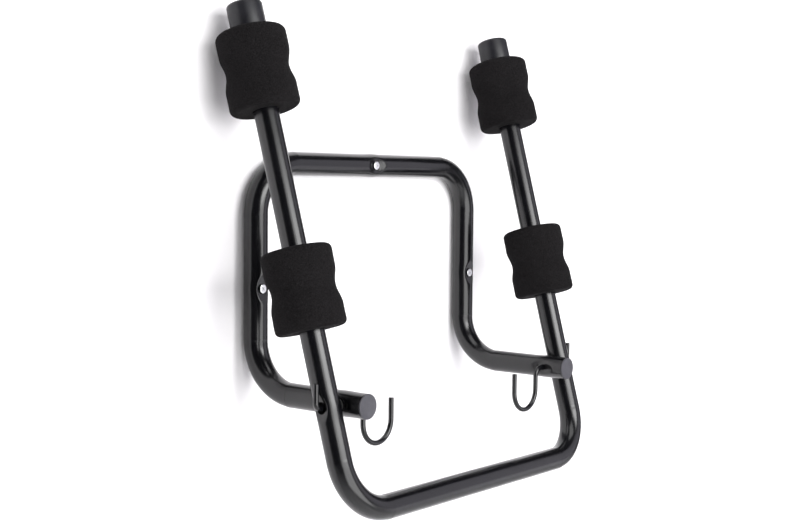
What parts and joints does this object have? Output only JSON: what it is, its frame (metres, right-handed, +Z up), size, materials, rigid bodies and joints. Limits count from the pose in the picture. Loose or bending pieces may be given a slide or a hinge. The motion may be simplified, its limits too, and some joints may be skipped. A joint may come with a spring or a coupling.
{
  "type": "folding wall rack",
  "caption": "Wall-mounted rack: a bent-tube bracket carries a bent-tube frame that folds up against the wall, with foam cradles and wire hooks.",
  "frame": {"origin": "on the wall's surface, on the axis of the top screw", "axes": "+X to the right along the wall, +Y into the wall, +Z up"},
  "size_m": [0.4888, 0.215, 0.5049],
  "materials": {
    "tube_paint": "satin",
    "hook_wire": "gloss",
    "end_plastic": "satin",
    "arm_cap_vinyl": "satin",
    "foam": "matte",
    "screw_zinc": "satin",
    "washer_nylon": "matte"
  },
  "bodies": {
    "bracket": {"wall_bracket": "tube_paint", "bracket_cap_left": "end_plastic", "bracket_cap_right": "end_plastic", "screw_top": "screw_zinc", "screw_left": "screw_zinc", "screw_right": "screw_zinc", "pivot_washer_left": "washer_nylon", "pivot_washer_right": "washer_nylon"},
    "frame": {"folding_frame": "tube_paint", "arm_cap_left": "arm_cap_vinyl", "arm_cap_right": "arm_cap_vinyl", "foam_upper_left": "foam", "foam_upper_right": "foam", "foam_middle_left": "foam", "foam_middle_right": "foam"},
    "hook_left": {"hook_left": "hook_wire"},
    "hook_right": {"hook_right": "hook_wire"}
  },
  "joints": [
    {"name": "fold_hinge", "type": "hinge", "parent": "bracket", "child": "frame", "pos_m": [0, -0.137, -0.232], "axis": [1, 0, 0], "range_deg": [0, 91.6]},
    {"name": "hook_left_swing", "type": "hinge", "parent": "bracket", "child": "hook_left", "pos_m": [-0.131, -0.137, -0.232], "axis": [1, 0, 0], "continuous": true},
    {"name": "hook_right_swing", "type": "hinge", "parent": "bracket", "child": "hook_right", "pos_m": [0.131, -0.137, -0.232], "axis": [1, 0, 0], "continuous": true}
  ]
}
